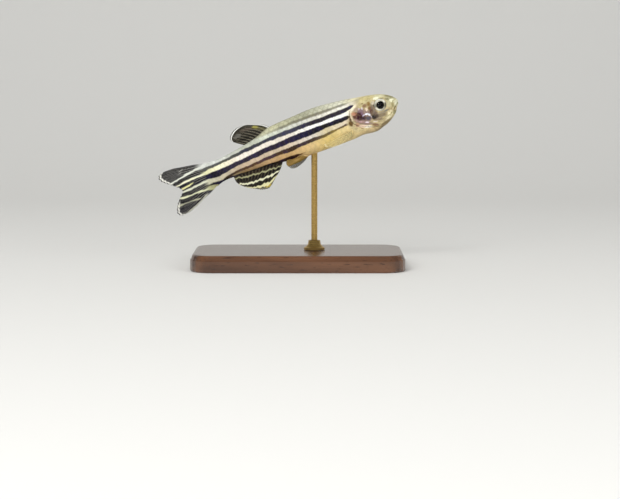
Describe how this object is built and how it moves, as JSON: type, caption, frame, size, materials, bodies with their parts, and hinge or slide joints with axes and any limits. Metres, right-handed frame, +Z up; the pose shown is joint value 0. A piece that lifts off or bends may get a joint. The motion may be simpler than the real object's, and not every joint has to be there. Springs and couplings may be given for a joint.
{
  "type": "zebra danio display model",
  "caption": "Life-size still model of a zebra danio, a small fish with long dark and pale stripes, nose up on a rod over a flat wooden base.",
  "frame": {"origin": "centre of the stand's underside, on the surface that it stands on", "axes": "+X towards the fish's head along the base, +Y to the fish's left side, +Z up"},
  "size_m": [0.044, 0.022, 0.031],
  "materials": {
    "head": "moist skin, olive gold with brown and purple",
    "lower_jaw": "moist skin, pale yellow olive",
    "gill_cover": "moist skin, wine red to pink with silver glints",
    "eye": "silver white iris, black pupil, clear cornea",
    "barbel": "moist skin, olive",
    "trunk": "fine scales, cream and blue-black stripes, golden belly",
    "tail_stalk": "fine scales, cream and blue-black stripes",
    "fin": "thin clear membrane with rays, cream yellow and dark bands",
    "stand_base": "dark walnut, satin lacquer",
    "stand_metal": "satin turned brass"
  },
  "bodies": {
    "root": {"head": "head", "lower_jaw": "lower_jaw", "gill_cover_left": "gill_cover", "gill_cover_right": "gill_cover", "eye_left": "eye", "eye_right": "eye", "barbel_rostral_left": "barbel", "barbel_rostral_right": "barbel", "barbel_maxillary_left": "barbel", "barbel_maxillary_right": "barbel", "trunk": "trunk", "tail_stalk": "tail_stalk", "dorsal_fin": "fin", "anal_fin": "fin", "caudal_fin": "fin", "pectoral_fin_left": "fin", "pectoral_fin_right": "fin", "pelvic_fin_left": "fin", "pelvic_fin_right": "fin", "stand_base": "stand_base", "stand_collar": "stand_metal", "stand_rod": "stand_metal"}
  },
  "joints": []
}
